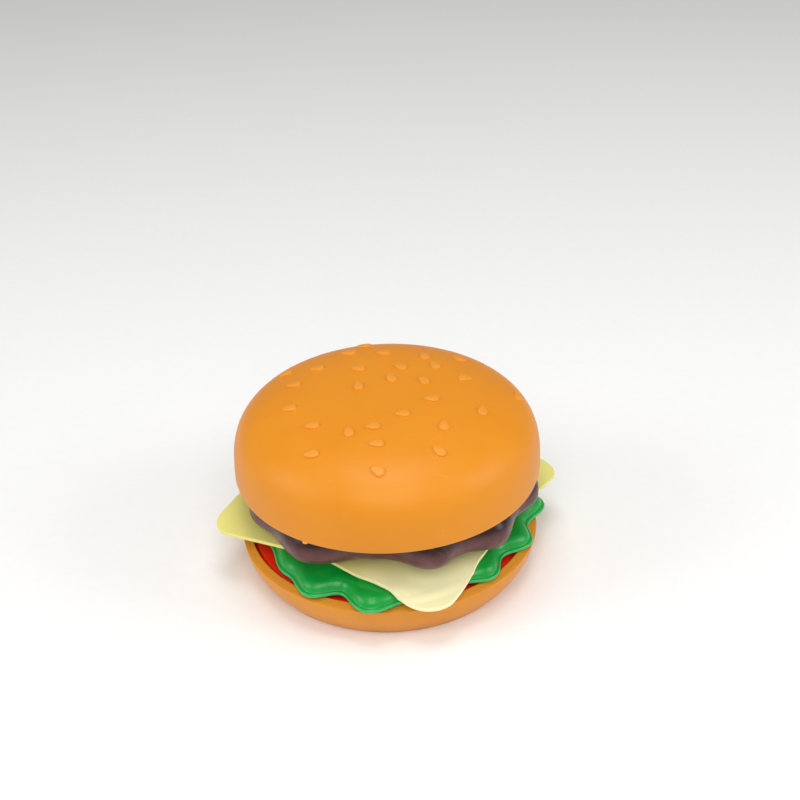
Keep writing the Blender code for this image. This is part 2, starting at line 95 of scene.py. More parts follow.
def sweep(bm, section, place, steps, closed=False):
    """Skins a section over evenly spaced bearings. A point on the axis becomes one vertex."""
    rows = []
    for point in section:
        if (place(point, 0.0) - place(point, 180.0)).length < 0.001 * MM:
            rows.append([bm.verts.new(place(point, 0.0))] * steps)
        else:
            rows.append([bm.verts.new(place(point, 360.0 * i / steps)) for i in range(steps)])
    pairs = list(zip(rows, rows[1:])) + ([(rows[-1], rows[0])] if closed else [])
    for above, below in pairs:
        for i in range(steps):
            j = (i + 1) % steps
            corners = []
            for vert in (above[i], below[i], below[j], above[j]):
                if vert not in corners:
                    corners.append(vert)
            bm.faces.new(corners)


def revolve(bm, section, steps=220, centre=(0.0, 0.0), closed=False):
    """Turns a profile of (radius, height) points round an upright line."""
    middle = Vector((*centre, 0.0))
    sweep(bm, section, lambda p, bearing: middle + at_bearing(p[0], bearing, p[1]), steps, closed)


def pegs(bm, low, high):
    """Three upright pegs with rounded heads."""
    section = filleted([(0, low, 0), (PEG_R, low, 0), (PEG_R, high, 0.4 * MM), (0, high, 0)])
    for bearing in PEG_BEARINGS:
        revolve(bm, section, 24, at_bearing(PEG_RING_R, bearing)[:2])


def sockets(bm, low, high):
    """Three tubes that take the pegs."""
    outside = SOCKET_R + SOCKET_WALL
    section = [(SOCKET_R, low), (outside, low), (outside, high), (SOCKET_R, high)]
    for bearing in PEG_BEARINGS:
        revolve(bm, section, 24, at_bearing(PEG_RING_R, bearing)[:2], closed=True)


def make_piece(name, bm, material, crease=48):
    """An object made of the mesh, with the faces turned outwards and smooth between creases."""
    bmesh.ops.recalc_face_normals(bm, faces=bm.faces)
    mesh = bpy.data.meshes.new(name)
    bm.to_mesh(mesh)
    bm.free()
    mesh.shade_smooth()
    mesh.set_sharp_from_angle(angle=math.radians(crease))
    mesh.materials.append(material)
    obj = bpy.data.objects.new(name, mesh)
    bpy.context.scene.collection.objects.link(obj)
    return obj


def linear(hex_colour):
    """An sRGB hex colour as linear RGBA."""
    parts = [int(hex_colour[i:i + 2], 16) / 255 for i in (1, 3, 5)]
    return (*[c / 12.92 if c <= 0.04045 else ((c + 0.055) / 1.055) ** 2.4 for c in parts], 1.0)


def add_node(tree, kind, inputs, **settings):
    """Adds a node with its settings. An input is a value, or another node to link from."""
    made = tree.nodes.new(kind)
    for name, value in settings.items():
        setattr(made, name, value)
    for name, value in inputs.items():
        if isinstance(value, bpy.types.Node):
            value = value.outputs[0]
        if isinstance(value, bpy.types.NodeSocket):
            tree.links.new(value, made.inputs[name])
        else:
            made.inputs[name].default_value = value
    return made


def moulded(name, body, cloud, scuff, roughness, grain, grain_depth, ior=1.49, mask=None,
            flow_size=18, wobble_depth=0.12 * MM, specular=0.36):
    """Moulded plastic. Resin flow clouds the colour, the tool's grain breaks up the gloss, and
    play leaves faint pale rubs. A mask (attribute name, colour) marks where another tone shows."""
    material = bpy.data.materials.new(name)
    material.use_nodes = True
    tree = material.node_tree
    shader = tree.nodes["Principled BSDF"]
    shader.inputs["IOR"].default_value = ior
    shader.inputs["Specular IOR Level"].default_value = specular
    spot = add_node(tree, "ShaderNodeTexCoord", {}).outputs["Object"]
    # Sizes are in millimetres: flow marks are some 18 long, the wobble of a polished tool about 7.
    flow = add_node(tree, "ShaderNodeTexNoise", {"Vector": spot, "Scale": 1000 / flow_size, "Detail": 4.0,
                                                 "Roughness": 0.55})
    flow_share = add_node(tree, "ShaderNodeMapRange", {"Value": flow, "From Min": 0.32, "From Max": 0.72})
    colour = add_node(tree, "ShaderNodeMixRGB", {"Fac": flow_share, "Color1": linear(body),
                                                 "Color2": linear(cloud)})
    if mask:
        attribute = add_node(tree, "ShaderNodeAttribute", {}, attribute_name=mask[0])
        colour = add_node(tree, "ShaderNodeMixRGB", {"Fac": attribute.outputs["Fac"], "Color1": colour,
                                                     "Color2": linear(mask[1])})
    # Rubs are hair-fine lines: noise stretched along one way, and only its crests show.
    stretch = add_node(tree, "ShaderNodeMapping", {"Vector": spot, "Rotation": (0.3, 0.5, 0.9),
                                                   "Scale": (1000 / 9, 1000 / 0.7, 1000 / 4)})
    streak = add_node(tree, "ShaderNodeTexNoise", {"Vector": stretch, "Scale": 1.0, "Detail": 3.0})
    crest = add_node(tree, "ShaderNodeMapRange", {"Value": streak, "From Min": 0.66, "From Max": 0.80,
                                                  "To Max": 0.30})
    colour = add_node(tree, "ShaderNodeMixRGB", {"Fac": crest, "Color1": colour, "Color2": linear(scuff)})
    tree.links.new(colour.outputs[0], shader.inputs["Base Color"])
    # The tool's spark-eroded grain is drawn somewhat coarser than real so that it shows.
    fine = add_node(tree, "ShaderNodeTexNoise", {"Vector": spot, "Scale": 1000 / grain, "Detail": 2.0,
                                                 "Roughness": 0.6})
    slow = add_node(tree, "ShaderNodeTexNoise", {"Vector": spot, "Scale": 1000 / 7, "Detail": 1.0})
    gloss = add_node(tree, "ShaderNodeMapRange", {"Value": flow, "From Min": 0.25, "From Max": 0.75,
                                                  "To Min": roughness - 0.05, "To Max": roughness + 0.07})
    tree.links.new(gloss.outputs[0], shader.inputs["Roughness"])
    wobble = add_node(tree, "ShaderNodeBump", {"Height": slow, "Strength": 0.35, "Distance": wobble_depth})
    grained = add_node(tree, "ShaderNodeBump", {"Height": fine, "Strength": 0.6,
                                                "Distance": grain_depth, "Normal": wobble})
    tree.links.new(grained.outputs[0], shader.inputs["Normal"])
    return material


# Polypropylene from a finely grained tool: satin, with a broad soft highlight and no sharp mirror. Seed
# tops are painted paler as painted highlight.
bun_pp = moulded("moulded_orange_polypropylene", "#dc8810", "#df8c16", "#eaa85c", 0.44, 0.7, 0.018 * MM,
                 mask=("painted_seed_highlight_and_gate_mark", "#eda64e"))
# The lower bun comes from another mould and batch, and is a shade browner.
base_pp = moulded("moulded_tan_polypropylene", "#dd8f26", "#d98b24", "#eebb84", 0.42, 0.7, 0.018 * MM)

low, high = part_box("bottom_bun_shell")
BUN_R, EDGE_H = high.x, 12.3 * MM
side = []
for i in range(1, 31):
    z = EDGE_H * (i / 30) ** 1.6
    drop = 1 - z / EDGE_H
    r = BUN_FOOT_R + (BUN_R - BUN_FOOT_R) * (1 - drop ** BUN_BOW)
    side.append((r - (PARTING_STEP if z < EDGE_H - PARTING_H else 0), z, 0))
lip_r = BUN_R - BUN_WALL
bowl_section = filleted(
    [(0, FOOT_RECESS, 0), (BUN_FOOT_R - FOOT_RING, FOOT_RECESS, 0.3 * MM),
     (BUN_FOOT_R - FOOT_RING + 0.3 * MM, 0, 0.15 * MM), (BUN_FOOT_R - 0.2 * MM, 0, 0.2 * MM)]
    + side[:-1] + [(BUN_R, EDGE_H, 0.25 * MM), (lip_r, high.z, 0.03 * MM)]
    + [(r - BUN_WALL, z, 0) for r, z, _ in side[::-1] if 1.6 * BUN_WALL < z < EDGE_H - BUN_WALL]
    + [(BUN_FOOT_R - BUN_WALL, BUN_WALL, 0.6 * MM), (0, BUN_WALL, 0)])
bm = bmesh.new()
revolve(bm, bowl_section)
pegs(bm, BUN_WALL - 0.4 * MM, 7.6 * MM)
bowl = make_piece("bottom_bun_bowl", bm, base_pp)
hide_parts("bottom_bun_shell")
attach(bowl, "bottom_bun")


# ==== bottom bun, tray ===========================================================================
# The lid of the bowl, in the same polypropylene: a rim that slopes up to its inner edge and a round
# recess that holds the tomato slice. It is pressed onto the pegs and a hairline shows round it.
SEAT_R = 43.9 * MM
SEAT_FLOOR = 9.5 * MM
TRAY_UNDER = 8.0 * MM      # height of the floor's lower face
SEAM = 0.02 * MM           # between the tray and the bowl's lip
RING_GROOVE_R = 15.0 * MM  # middle of a shallow ring moulded in the recess
RING_GROOVE_D = 0.3 * MM
low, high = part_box("bottom_bun_tray")
tray_r = BUN_R - BUN_WALL - SEAM
rim_in = (tray_r, high.z - 1.1 * MM * (tray_r - SEAT_R) / (BUN_R - SEAT_R))
tray_section = filleted(
    [(0, SEAT_FLOOR, 0), (RING_GROOVE_R - 1.0 * MM, SEAT_FLOOR, 0.2 * MM),
     (RING_GROOVE_R - 0.6 * MM, SEAT_FLOOR - RING_GROOVE_D, 0.2 * MM),
     (RING_GROOVE_R + 0.6 * MM, SEAT_FLOOR - RING_GROOVE_D, 0.2 * MM),
     (RING_GROOVE_R + 1.0 * MM, SEAT_FLOOR, 0.2 * MM),
     (SEAT_R, SEAT_FLOOR, 0.6 * MM), (SEAT_R, high.z, 0.35 * MM), (*rim_in, 0.03 * MM),
     (SEAT_R + 0.7 * MM, SEAT_FLOOR, 0.3 * MM), (SEAT_R + 0.1 * MM, TRAY_UNDER, 0.3 * MM),
     (0, TRAY_UNDER, 0)])
bm = bmesh.new()
revolve(bm, tray_section)
sockets(bm, low.z, TRAY_UNDER + 0.3 * MM)
tray = make_piece("bottom_bun_tray_top", bm, base_pp)
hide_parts("bottom_bun_tray")
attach(tray, "bottom_bun")


# ==== tomato slice ===============================================================================
# A solid red disc with a rolled edge. Six seed chambers with small seeds are pressed into each face,
# between a round core and an outer wall of flesh.
CHAMBER_DEPTH = 0.6 * MM
CORE_R = 7.0 * MM
FLESH = 5.0 * MM
SEED_RINGS = ((0.30, 3), (0.62, 4), (0.86, 5))   # share of the chamber's length, seeds across it
low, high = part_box("tomato_slice")
tomato_r, tomato_mid, tomato_half = high.x, (low.z + high.z) / 2, (high.z - low.z) / 2


def smooth_step(value, start, end):
    """0 before the start, 1 past the end, and an S-curve between them."""
    t = min(1.0, max(0.0, (value - start) / (end - start)))
    return t * t * (3 - 2 * t)


def chamber_relief(x, y):
    """Depth of the face below its flat level: chambers with soft edges and seeds standing in them."""
    radius, bearing = math.hypot(x, y), math.degrees(math.atan2(y, x))
    turn = math.radians((bearing - 90 + 30) % 60 - 30)
    outer = tomato_r - FLESH
    middle, half = (outer + CORE_R) / 2, (outer - CORE_R) / 2
    along = (radius * math.cos(turn) - middle) / half
    across = radius * math.sin(turn)
    width = 0.36 * middle * (1 + 0.35 * along)
    inside = 1 - along * along - (across / width) ** 2
    depth = CHAMBER_DEPTH * smooth_step(inside, 0.0, 0.16)
    for share, count in SEED_RINGS:
        for i in range(count):
            seed_x = CORE_R + share * 2 * half
            seed_y = width * 1.5 * ((i + 0.5) / count - 0.5)
            dx = (radius * math.cos(turn) - seed_x) / (1.7 * MM)
            dy = (across - seed_y) / (0.9 * MM)
            seed = smooth_step(1 - dx * dx - dy * dy, 0.0, 0.8) * smooth_step(inside, 0.1, 0.3)
            depth -= 0.35 * MM * seed
    return max(0.0, depth)


def place_tomato(point, bearing):
    r, z = point[0], point[1]
    place = at_bearing(r, bearing, tomato_mid + z)
    if abs(z) > 0.999 * tomato_half:
        place.z -= math.copysign(chamber_relief(place.x, place.y), z)
    return place


face_radii = [i / 110 * (tomato_r - tomato_half) for i in range(1, 111)]
roll = [(tomato_r - tomato_half + tomato_half * math.cos(a), tomato_half * math.sin(a))
        for a in [math.radians(90 - 15 * i) for i in range(1, 12)]]
tomato_section = ([(0, tomato_half)] + [(r, tomato_half) for r in face_radii] + roll
                  + [(r, -tomato_half) for r in face_radii[::-1]] + [(0, -tomato_half)])
bm = bmesh.new()
sweep(bm, tomato_section, place_tomato, 240)
# Red polypropylene from a polished tool: glossier than the bun, with a tight highlight on the roll.
tomato_pp = moulded("moulded_red_polypropylene", "#ff260c", "#f71c08", "#ef6a50", 0.33, 0.9, 0.012 * MM)
tomato = make_piece("tomato_disc", bm, tomato_pp)
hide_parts("tomato_slice")
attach(tomato, "tomato")


# ==== lettuce leaf ===============================================================================
# A thin shell in green polypropylene, open underneath. A flat lip swings in and out in lobes, and a
# rolled hem rises from it. Ribs are engraved in the top, one to most lobes.
LEAF_T = 1.3 * MM
LEAF_LIP = 1.0 * MM
LEAF_SKIRT = 17.0 * MM
LEAF_RISE = 6.0 * MM
LEAF_HEM = 6.0 * MM
LEAF_HEM_RISE = 3.0 * MM
LEAF_ROUND = (3.0, 1.5)          # superellipse exponents of the hem, outwards and upwards
LEAF_PRESSED = (-74, 26, 0.9)   # bearing, half its width in degrees, share of the hem's rise
LEAF_R = 45.3 * MM
LEAF_VALLEY = 2.1 * MM
LEAF_CORNERS = 3                 # the whole outline is faintly three-cornered
LEAF_CORNER_SWING = 2.1 * MM
LEAF_TURN = -100                 # bearing of one of those corners
LEAF_SHIFT = Vector((1.2 * MM, 0, 0))
LEAF_LOBES = (  # bearing, half its width in degrees, how far it stands out
    (-177, 13, 4.2), (-142, 16, 2.2), (-125, 13, 4.2), (-113, 11, -1.8), (-100, 13, 4.2),
    (-49, 13, 4.2), (-23, 13, 4.2), (3, 13, 4.2), (29, 13, 4.2), (54, 13, 4.2), (80, 13, 4.2),
    (106, 13, 4.2), (131, 13, 4.2), (157, 13, 4.2))
LEAF_RIBS = (-177, -125, -100, -49, -23, 3, 29, 54, 80, 106, 131, 157)
RIB_DEPTH = 0.35 * MM
RIB_W = 0.9 * MM
low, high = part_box("lettuce_leaf")
leaf_lip_h = low.z + LEAF_T


def lobed(lobes, bearing):
    """How far lobes stand out at a bearing. Each is (bearing, half width, millimetres)."""
    total = 0.0
    for middle, half_width, out in lobes:
        away = abs((bearing - middle + 180) % 360 - 180)
        if away < half_width:
            total += out * MM * math.cos(math.pi / 2 * away / half_width) ** 2
    return total


def leaf_swing(bearing):
    """How far the edge stands out past the middle of the bun's rim at a bearing."""
    corner = LEAF_CORNER_SWING * math.cos(LEAF_CORNERS * math.radians(bearing - LEAF_TURN))
    return lobed(LEAF_LOBES, bearing) - LEAF_VALLEY + corner


def leaf_rise(inward, bearing):
    """A rolled hem at the edge, pressed down under the cheese's corner, then an easy slope."""
    hem_rise = LEAF_HEM_RISE * (1 - lobed((LEAF_PRESSED,), bearing) / MM)
    hem = min(1.0, max(0.0, (inward - LEAF_LIP) / (LEAF_HEM - LEAF_LIP)))
    outwards, upwards = LEAF_ROUND
    rolled = hem_rise * (1 - (1 - hem) ** outwards) ** (1 / upwards) * smooth_step(hem, -0.04, 0.08)
    return rolled + (LEAF_RISE - hem_rise) * smooth_step(inward, LEAF_HEM, LEAF_SKIRT)


def leaf_fade(inward):
    """The share of the edge's swing that is left at a distance in from the edge."""
    return max(0.0, 1 - (max(0.0, inward) / LEAF_SKIRT) ** 2)


def rib(radius, bearing):
    """Depth of the engraved ribs: one runs out to each lobe, with short branches either side."""
    depth = 0.0
    for middle in LEAF_RIBS:
        turn = math.radians((bearing - middle + 180) % 360 - 180)
        if abs(turn) > 0.4:
            continue
        along, across = radius * math.cos(turn), abs(radius * math.sin(turn))
        width = RIB_W * (0.5 + 0.5 * (1 - along / LEAF_R))
        depth = max(depth, smooth_step(width - across, -width * 0.4, width * 0.6)
                    * smooth_step(along, 5 * MM, 9 * MM) * smooth_step(LEAF_R - 16 * MM - along, 0, 7 * MM))
        branch = (along - 0.9 * across) % (7.5 * MM) - 3.7 * MM
        depth = max(depth, 0.6 * smooth_step(0.45 * MM - abs(branch), -0.3 * MM, 0.3 * MM)
                    * smooth_step(along, 17 * MM, 20 * MM) * smooth_step(5.2 * MM - across, 0, 1.5 * MM)
                    * smooth_step(LEAF_R - 18 * MM - along, 0, 4 * MM))
    return RIB_DEPTH * depth


def place_leaf(point, bearing):
    """point is (distance in from the edge, height over the lip, which face)."""
    inward, z, face = point
    radius = LEAF_R - inward + leaf_fade(inward) * leaf_swing(bearing)
    z += leaf_rise(inward, bearing) - leaf_rise(inward, 0)
    if face == "top":
        z -= rib(max(0.0, LEAF_R - inward), bearing)
    return at_bearing(radius, bearing, leaf_lip_h + z) + LEAF_SHIFT


# The section starts at the middle of the top, goes out over the lip and comes back underneath.
inwards = [LEAF_R - LEAF_R * (i / 40) ** 0.8 for i in range(0, 24)]
inwards = [x for x in inwards if x > LEAF_SKIRT] + [LEAF_SKIRT * (1 - i / 60) ** 1.3 for i in range(61)]
inwards = [x for x in inwards if x > LEAF_T / 2] + [LEAF_T / 2]
top_face = [Vector((x, leaf_rise(x, 0))) for x in inwards]
under_face = []
for i, here in enumerate(top_face):
    before, after = top_face[max(0, i - 1)], top_face[min(len(top_face) - 1, i + 1)]
    run = (after - before).normalized()
    under_face.append(here + Vector((-run.y, run.x)) * LEAF_T)
under_face = [Vector((min(p.x, LEAF_R), p.y)) for p in under_face]
edge = [(LEAF_T / 2 - LEAF_T / 2 * math.sin(a), -LEAF_T / 2 + LEAF_T / 2 * math.cos(a))
        for a in [math.radians(18 * i) for i in range(1, 10)]]
leaf_section = ([(p.x, p.y, "top") for p in top_face] + [(x, z, "edge") for x, z in edge]
                + [(p.x, p.y, "under") for p in under_face[::-1]])
bm = bmesh.new()
sweep(bm, leaf_section, place_leaf, 420)
# Painted highlight: the lip, its rounded edge and the underside just inside it take a paler green.
painted_lip_highlight = bm.verts.layers.float.new("painted_lip_highlight")
for vert in bm.verts:
    vert[painted_lip_highlight] = 0.45 * (1 - smooth_step(vert.co.z - leaf_lip_h, -0.5 * MM, 0.15 * MM))
# Green polypropylene. The lip is painted paler, a painted highlight where light catches and shines through
# the thin edge.
leaf_pp = moulded("moulded_green_polypropylene", "#00a03a", "#009a36", "#4fc07a", 0.31, 0.9, 0.012 * MM,
                  mask=("painted_lip_highlight", "#48cc80"), wobble_depth=0.03 * MM, specular=0.5)
leaf = make_piece("lettuce_leaf_shell", bm, leaf_pp)
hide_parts("lettuce_leaf")
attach(leaf, "lettuce")


# ==== cheese slice ===============================================================================
# A thin square sheet in pale yellow, moulded already bent: flat in the middle, with four rounded
# corners that hang over the leaf. The front corner hangs the lowest.
CHEESE_SIDE = 83.6 * MM
CHEESE_CORNER_R = 8.5 * MM
CHEESE_T = 1.3 * MM
CHEESE_TURN = -76.5
CHEESE_SHIFT = Vector((0, 4.8 * MM, 0))
CHEESE_FLAT_R = 31.0 * MM
CHEESE_BEND = 1.1                  # exponent of the bend
CHEESE_DROOPS = (9.4, 4.3, 4.0, 3.4)   # front, right, back, left corner, in millimetres
CHEESE_CLEARANCE = 0.3 * MM
CHEESE_SOFTNESS = 0.8 * MM         # how gently the sheet settles on the leaf
low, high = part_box("cheese_slice")
cheese_flat_h = high.z - CHEESE_T
cheese_tip = (CHEESE_SIDE / 2 - CHEESE_CORNER_R) * math.sqrt(2) + CHEESE_CORNER_R


def height_over_leaf(x, y):
    """Height that clears the leaf at a place, by the cheese's clearance up and inwards."""
    x, y = x - LEAF_SHIFT.x, y - LEAF_SHIFT.y
    bearing = math.degrees(math.atan2(y, x))
    swing = leaf_swing(bearing)
    inward = 0.0
    for _ in range(8):
        inward = LEAF_R + leaf_fade(inward) * swing - math.hypot(x, y)
    inward += CHEESE_CLEARANCE
    lip = smooth_step(inward, -2.5 * MM, 0.3 * MM)
    return leaf_lip_h - LEAF_T + CHEESE_CLEARANCE + lip * LEAF_T + leaf_rise(inward, bearing)


def cheese_height(x, y):
    """Height of the slice's lower face at a place in its own axes, where +X is the front corner."""
    droop = 0.0
    for corner, most in zip((0, 90, 180, 270), CHEESE_DROOPS):
        past = Vector((x, y, 0)).dot(at_bearing(1, corner)) - CHEESE_FLAT_R
        if past > 0:
            droop += most * MM * (past / (cheese_tip - CHEESE_FLAT_R)) ** CHEESE_BEND
    turned = Matrix.Rotation(math.radians(CHEESE_TURN), 3, "Z") @ Vector((x, y, 0)) + CHEESE_SHIFT
    hanging = cheese_flat_h - droop
    leaf_below = min(height_over_leaf(turned.x, turned.y), cheese_flat_h)
    # The larger of the two, with the change from one to the other smoothed over.
    apart = math.hypot(hanging - leaf_below, CHEESE_SOFTNESS)
    return min(cheese_flat_h, (hanging + leaf_below + apart) / 2)


def rounded_square(side_length, corner_r, corner_steps, side_steps):
    points = []
    reach = (side_length / 2 - corner_r) * math.sqrt(2)
    for corner in (0, 90, 180, 270):
        centre = at_bearing(reach, corner)
        arc = [centre + at_bearing(corner_r, corner - 45 + 90 * i / corner_steps)
               for i in range(corner_steps + 1)]
        end = at_bearing(reach, corner + 90) + at_bearing(corner_r, corner + 45)
        points += arc + [arc[-1].lerp(end, i / side_steps) for i in range(1, side_steps)]
    return points


cheese_outline = rounded_square(CHEESE_SIDE, CHEESE_CORNER_R, 16, 56)


def place_cheese(point, bearing):
    """point is (share of the outline, level through the thickness)."""
    share, level = point
    flat = cheese_outline[round(bearing / 360 * len(cheese_outline))] * share
    step = 0.2 * MM
    x, y = flat.x, flat.y
    slope_x = (cheese_height(x + step, y) - cheese_height(x - step, y)) / (2 * step)
    slope_y = (cheese_height(x, y + step) - cheese_height(x, y - step)) / (2 * step)
    up = Vector((-slope_x, -slope_y, 1)).normalized()
    place = Vector((x, y, cheese_height(x, y))) + up * level * CHEESE_T
    return Matrix.Rotation(math.radians(CHEESE_TURN), 3, "Z") @ place + CHEESE_SHIFT


round_off = 0.45 / 42
shares = [0.25, 0.4, 0.5] + [0.5 + 0.5 * (1 - round_off) * i / 40 for i in range(1, 41)]
corner_arc = [(1 - round_off + round_off * math.sin(a), 1 - 0.35 * (1 - math.cos(a)))
              for a in [math.radians(22.5 * i) for i in range(1, 5)]]
cheese_section = ([(0, 1)] + [(s, 1) for s in shares] + corner_arc
                  + [(s, 1 - level) for s, level in corner_arc[::-1]]
                  + [(s, 0) for s in shares[::-1]] + [(0, 0)])
bm = bmesh.new()
sweep(bm, cheese_section, place_cheese, len(cheese_outline))
# Painted light: a share that grows towards the front corner's tip, where the colour is made paler.
painted_front_light = bm.verts.layers.float.new("painted_front_light")
for vert in bm.verts:
    reach = (vert.co - CHEESE_SHIFT).dot(at_bearing(1, CHEESE_TURN)) / cheese_tip
    vert[painted_front_light] = 0.8 * smooth_step(reach, 0.55, 0.85)
# Pale yellow polyethylene: soft and waxy, so the highlight is wide and faint. The front corner is
# painted paler towards its tip, as painted light where the lamps fall on it most.
cheese_pe = moulded("moulded_yellow_polyethylene", "#e9e488", "#e6e07c", "#f8f4cf", 0.47, 0.8, 0.015 * MM,
                    ior=1.51, mask=("painted_front_light", "#f9f5c8"), wobble_depth=0.05 * MM)
cheese = make_piece("cheese_sheet", bm, cheese_pe)
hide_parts("cheese_slice")
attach(cheese, "cheese")


# ==== beef patty =================================================================================
# A hollow, lobed shell in dark brown, mouth downwards, and a round plate pressed into the mouth.
# The shell's side is uneven, as minced meat is, and polished, so it catches streaks of light.
PATTY_WAIST_R = 38.5 * MM
PATTY_WALL = 1.6 * MM
PATTY_HEAD = (8.0 * MM, 6.0 * MM)
PATTY_FOOT = (6.0 * MM, 5.0 * MM)
PATTY_MOUTH_R = 29.0 * MM
PATTY_LOBES = (
    (-160, 30, 7.0), (-127, 26, 8.0), (-72, 20, 7.5), (-44, 24, 9.0), (-12, 28, 9.0), (22, 26, 8.0),
    (53, 22, 7.0), (84, 26, 8.5), (117, 24, 7.5), (149, 24, 8.0), (178, 18, 3.0))
low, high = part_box("patty_shell")
patty_low, patty_top = low.z, high.z
bun_rim_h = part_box("top_bun_dome")[0].z
BUN_MOUTH_R = 44.7 * MM


def place_patty(point, bearing):
    """point is (share of the way from the axis to the side, height, inset), and share -1 stands for
    the round mouth. Dents only go inwards."""
    share, z, inset = point
    if share < 0:
        return at_bearing(PATTY_MOUTH_R, bearing, z)
    radius = share * (PATTY_WAIST_R + lobed(PATTY_LOBES, bearing) - inset)
    if z > bun_rim_h - 0.5 * MM:   # the top of the patty sits inside the bun's mouth
        radius = min(radius, share * (BUN_MOUTH_R - 0.3 * MM))
    place = at_bearing(radius, bearing, z)
    if share == 1:
        dent = noise.fractal(place * 130, 0.8, 2.0, 3) * 0.5 + 0.35
        place -= at_bearing(0.55 * MM * min(1, max(0, dent)), bearing)
    return place


def quarter(centre, radii, start, end, steps):
    """Points of a quarter of an ellipse, from one angle in degrees to another."""
    return [(centre[0] + radii[0] * math.cos(a), centre[1] + radii[1] * math.sin(a))
            for a in [math.radians(start + (end - start) * i / steps) for i in range(steps + 1)]]


def patty_side(wall, steps):
    """The rounded side, from the top down to the underside, moved in by a wall."""
    head = quarter((-PATTY_HEAD[0], patty_top - PATTY_HEAD[1]),
                   (PATTY_HEAD[0] - wall, PATTY_HEAD[1] - wall), 90, 0, steps)
    foot = quarter((-PATTY_FOOT[0], patty_low + PATTY_FOOT[1]),
                   (PATTY_FOOT[0] - wall, PATTY_FOOT[1] - wall), 0, -90, steps)
    return [(1, z, -u) for u, z in head + foot]


outside, inside = patty_side(0, 14), patty_side(PATTY_WALL, 5)
crown = [(0, patty_top, 0)] + [(s, patty_top, PATTY_HEAD[0]) for s in (0.3, 0.6, 0.85)]
ceiling = [(s, patty_top - PATTY_WALL, PATTY_HEAD[0]) for s in (0.85, 0.5)]
ceiling.append((0, patty_top - PATTY_WALL, 0))
mouth = [(-1, patty_low, 0), (-1, patty_low + PATTY_WALL, 0)]
patty_section = crown + outside + mouth + inside[::-1] + ceiling
bm = bmesh.new()
sweep(bm, patty_section, place_patty, 320)
pegs(bm, patty_low + PATTY_WALL + 0.3 * MM, patty_top - PATTY_WALL + 0.3 * MM)
# Painted shade: the top of the side, tucked under the bun's rim, is painted near black, darkest nearest the
# top.
painted_bun_shade = bm.verts.layers.float.new("painted_bun_shade")
for vert in bm.verts:
    vert[painted_bun_shade] = 0.9 * smooth_step(vert.co.z, patty_top - 7.5 * MM, patty_top - 2.5 * MM)
# Dark brown polypropylene off a polished tool: nearly black in the shade, with clear soft streaks. Near the
# bun's rim it is painted near black as painted shade.
patty_pp = moulded("moulded_brown_polypropylene", "#6f4a4a", "#562a27", "#94786c", 0.34, 1.1, 0.02 * MM,
                   flow_size=6, mask=("painted_bun_shade", "#150a08"))
patty = make_piece("beef_patty_shell", bm, patty_pp)
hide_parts("patty_shell")
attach(patty, "patty")

low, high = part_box("patty_base")
base_r, base_low = high.x, low.z
base_top = base_low + PATTY_WALL
base_section = filleted(
    [(0, base_low + 0.3 * MM, 0), (base_r - 4 * MM, base_low + 0.3 * MM, 0.2 * MM),
     (base_r - 3.6 * MM, base_low, 0.2 * MM), (base_r, base_low, 0.25 * MM), (base_r, base_top, 0.2 * MM),
     (0, base_top, 0)])
bm = bmesh.new()
revolve(bm, base_section, 160)
sockets(bm, base_top - 0.3 * MM, high.z)
base = make_piece("beef_patty_base", bm, patty_pp)
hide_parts("patty_base")
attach(base, "patty")


# ==== top bun ====================================================================================
# A dome in the same orange polypropylene with sesame seeds moulded in one with it: flat teardrops
# with a small fillet at the foot. The rim is narrow and turned in a little.
DOME_WALL = 1.8 * MM
WIDEST_H = 1.7 * MM
RIM_TUCK = 1.0 * MM
CROWN_RISE = 26.5 * MM     # rim to crown
DOME_FLAT_R = 3.2          # superellipse exponents: how square the dome is, outwards and upwards
DOME_FLAT_Z = 3.36
NUB_BEARING = -122
SEED_L = 4.6 * MM
SEED_W = 3.0 * MM
SEED_H = 0.7 * MM
SEEDS = (  # x and y in millimetres, and the bearing of the narrow tip
    (-3, -37, 140), (-22, -28, 180), (15, -30, 140), (-3, -27, 180), (17, -19, 90),
    (-4, -19, 180), (-11, -21, 90), (-22, -16, 180), (5, -13, 180), (29, -10, 90),
    (-29, -5, 180), (14, -5, 180), (-8, 4, 90), (12, 6, 120), (2, 8, 120), (25, 8, 0),
    (-28, 9, 180), (41, 5, 100), (-8, 15, 175), (5, 15, 145), (16, 16, 115), (-21, 18, 180),
    (-31, 20, 200), (13, 23, 100), (24, 23, 150), (0, 26, 170), (-11, 28, 180), (-6, 35, 180))
low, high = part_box("top_bun_dome")
DOME_R = high.x
CROWN_H = low.z + CROWN_RISE


def dome_height(radius, wall=0.0):
    """Height of the dome at a radius, or of its inner face when a wall is given."""
    share = min(1.0, radius / (DOME_R - wall))
    rise = CROWN_H - low.z - WIDEST_H - wall
    return low.z + WIDEST_H + rise * (1 - share ** DOME_FLAT_R) ** (1 / DOME_FLAT_Z)


def dome_curve(wall, steps):
    """(radius, height, 0) from the crown down to the widest place."""
    points = []
    for i in range(steps + 1):
        radius = (DOME_R - wall) * math.sin(math.pi / 2 * i / steps) ** (2 / DOME_FLAT_R)
        points.append((radius, dome_height(radius, wall), 0))
    return points


